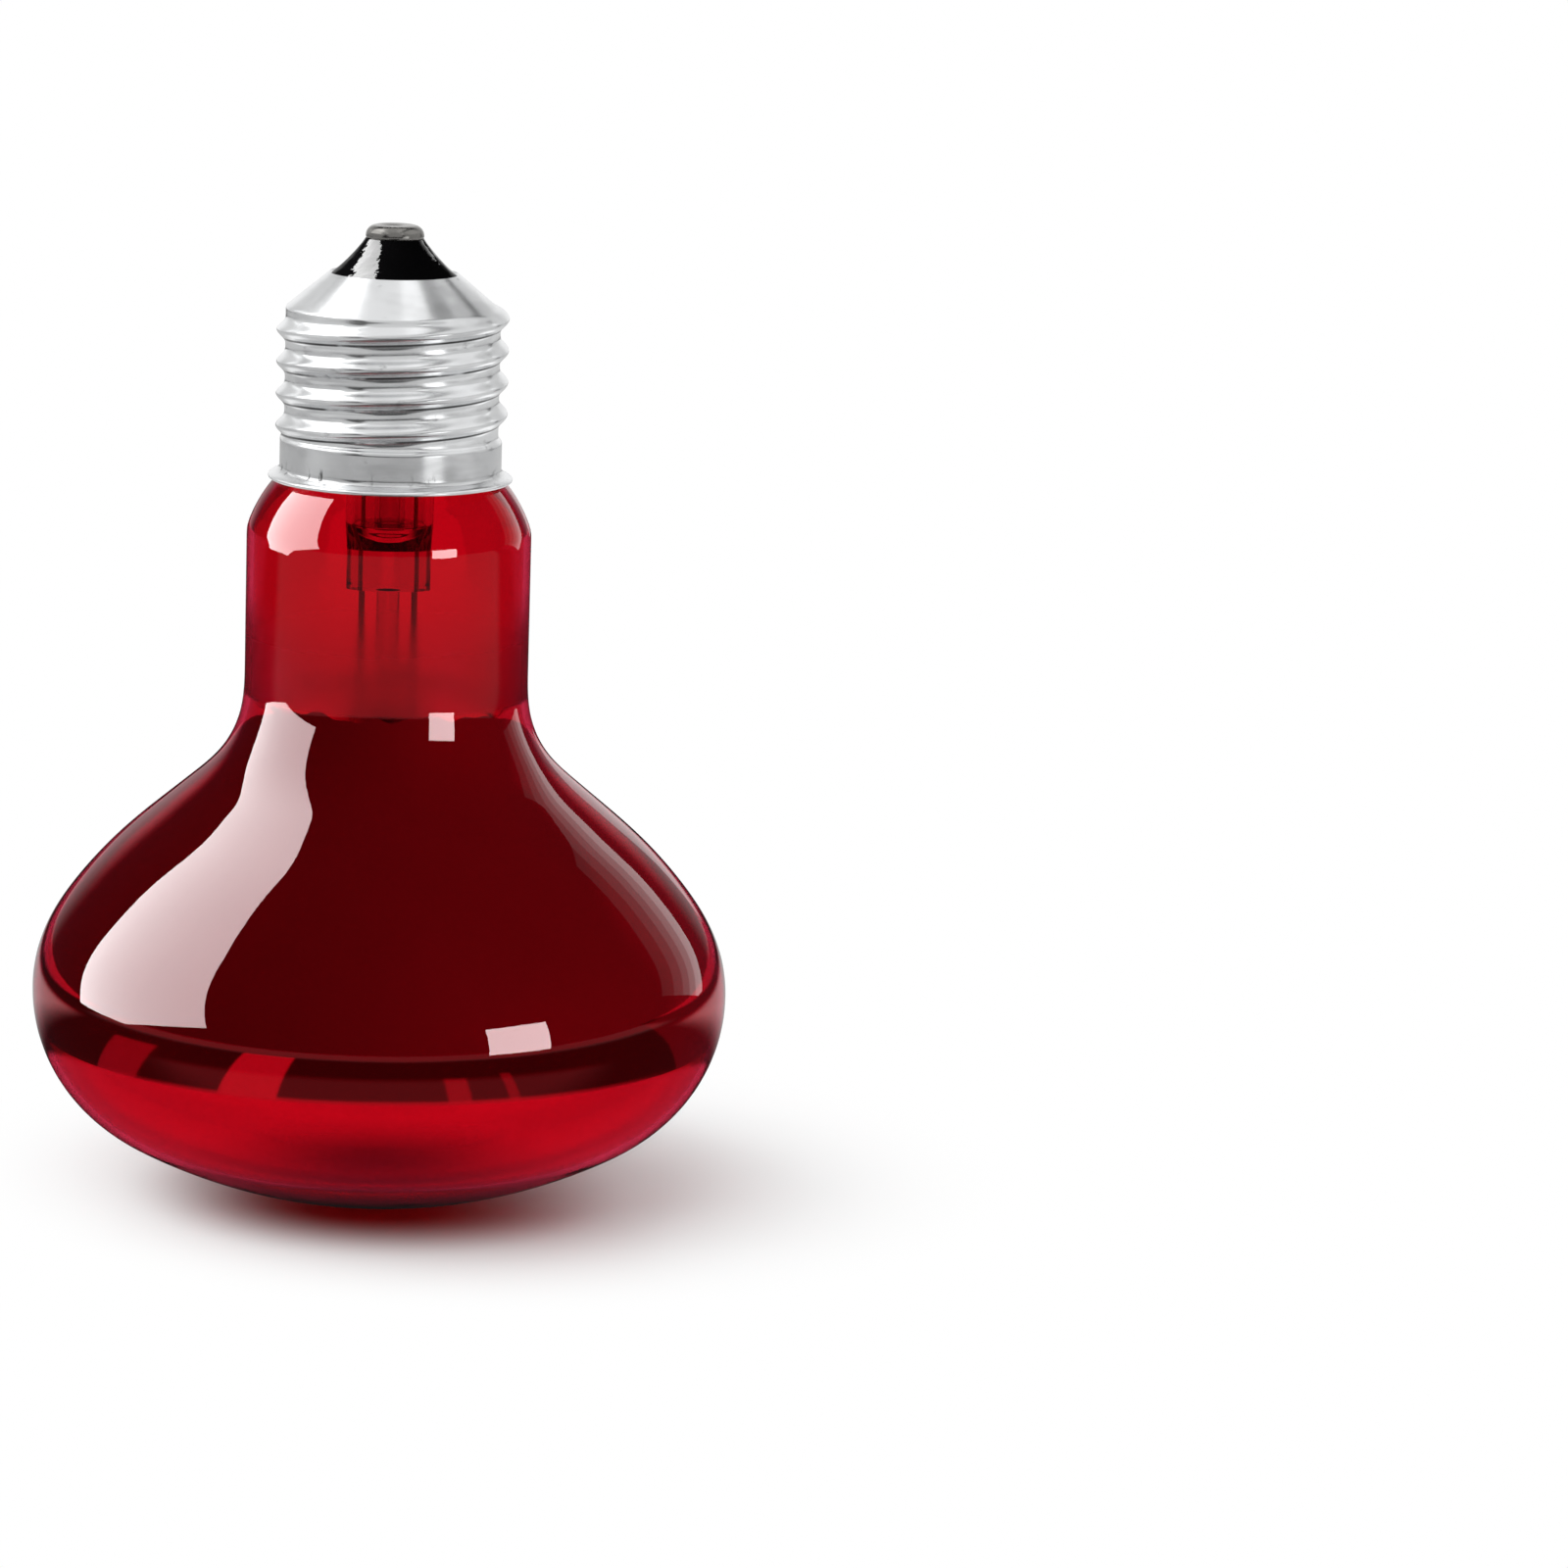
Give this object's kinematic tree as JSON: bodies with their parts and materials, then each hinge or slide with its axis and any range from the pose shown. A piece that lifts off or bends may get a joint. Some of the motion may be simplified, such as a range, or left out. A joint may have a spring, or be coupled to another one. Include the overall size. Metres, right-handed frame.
{
  "type": "infrared heat lamp bulb",
  "caption": "Red glass reflector bulb with a mirrored bowl, straight neck and metal screw cap, giving radiant heat downwards.",
  "frame": {"origin": "middle of the domed face, where the bulb stands on a table", "axes": "+Z along the bulb's axis from the face to the screw cap; the filament's arc opens to +Y"},
  "size_m": [0.08, 0.08, 0.1127],
  "materials": {
    "red_glass": "glossy, clear deep red",
    "mirror_film": "specular",
    "cap_aluminium": "bare rolled sheet, lightly scuffed",
    "black_glass": "glossy, opaque",
    "solder": "dull grey",
    "contact_brass": "satin",
    "cement": "matt",
    "stem_glass": "clear",
    "copper_wire": "drawn",
    "nickel_wire": "drawn",
    "support_wire": "drawn",
    "tungsten": "dark, drawn"
  },
  "bodies": {
    "root": {"glass_envelope": "red_glass", "mirror_coating": "mirror_film", "cap_shell": "cap_aluminium", "cap_insulator": "black_glass", "contact_solder": "solder", "side_solder": "solder", "contact_plate": "contact_brass", "cap_cement": "cement", "stem": "stem_glass", "exhaust_tube": "stem_glass", "support_rod": "stem_glass", "seal_wire_left": "copper_wire", "seal_wire_right": "copper_wire", "centre_lead": "copper_wire", "side_lead": "copper_wire", "inner_lead_left": "nickel_wire", "inner_lead_right": "nickel_wire", "filament_support_1": "support_wire", "filament_support_2": "support_wire", "filament_support_3": "support_wire", "filament": "tungsten"}
  },
  "joints": []
}
